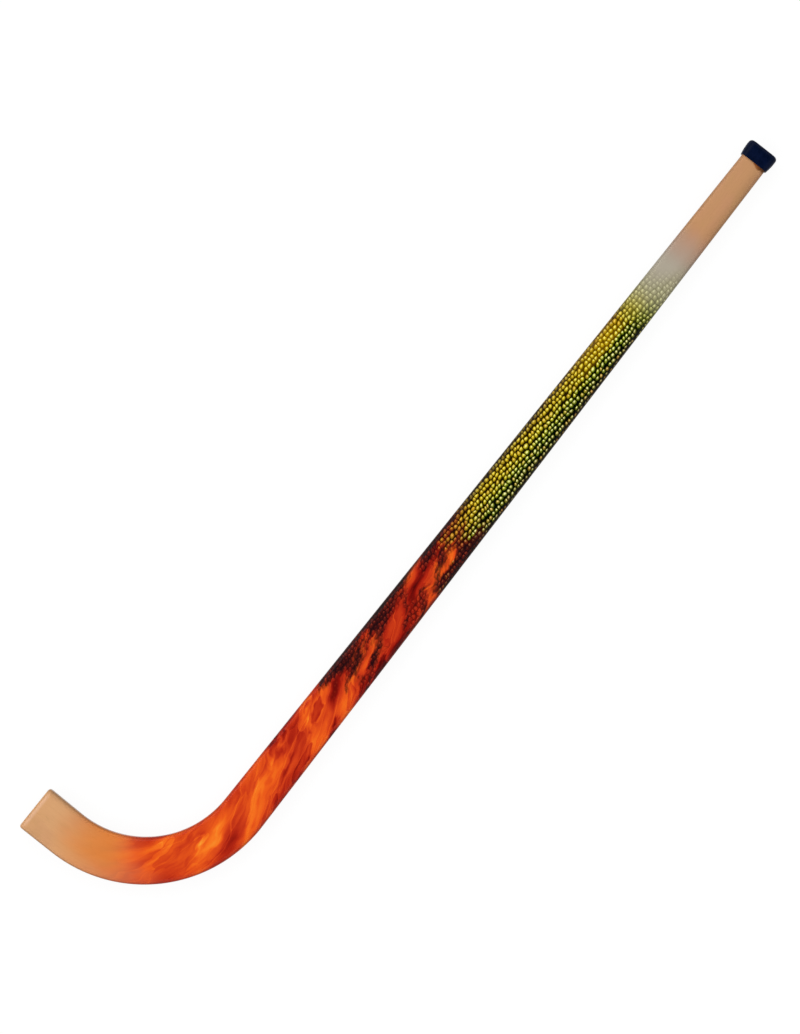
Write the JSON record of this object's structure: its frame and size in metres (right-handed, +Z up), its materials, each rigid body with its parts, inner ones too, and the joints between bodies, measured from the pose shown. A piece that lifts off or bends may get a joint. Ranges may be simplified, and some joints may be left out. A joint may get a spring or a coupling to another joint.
{
  "type": "rink hockey stick",
  "caption": "Laminated wooden rink hockey stick with a long tapered shaft, a hooked blade with a short straight toe, and a flared moulded cap on the butt.",
  "frame": {"origin": "middle of the bounding box in plan, at the height of the surface that the stick lies on", "axes": "+X along the shaft from the hook to the butt, +Y the way the toe points, +Z up, out of the face that the picture shows"},
  "size_m": [0.9844, 0.1896, 0.0236],
  "materials": {
    "ash": "clear lacquer, satin",
    "printed_face": "printed laminate under clear lacquer",
    "cap": "smooth moulded, satin"
  },
  "bodies": {
    "root": {"lamella_01": "ash", "lamella_02": "ash", "lamella_03": "ash", "lamella_04": "ash", "lamella_05": "ash", "lamella_06": "ash", "lamella_07": "ash", "lamella_08": "ash", "lamella_09": "ash", "lamella_10": "ash", "lamella_11": "ash", "front_skin": "printed_face", "back_skin": "printed_face", "butt_cap": "cap"}
  },
  "joints": []
}
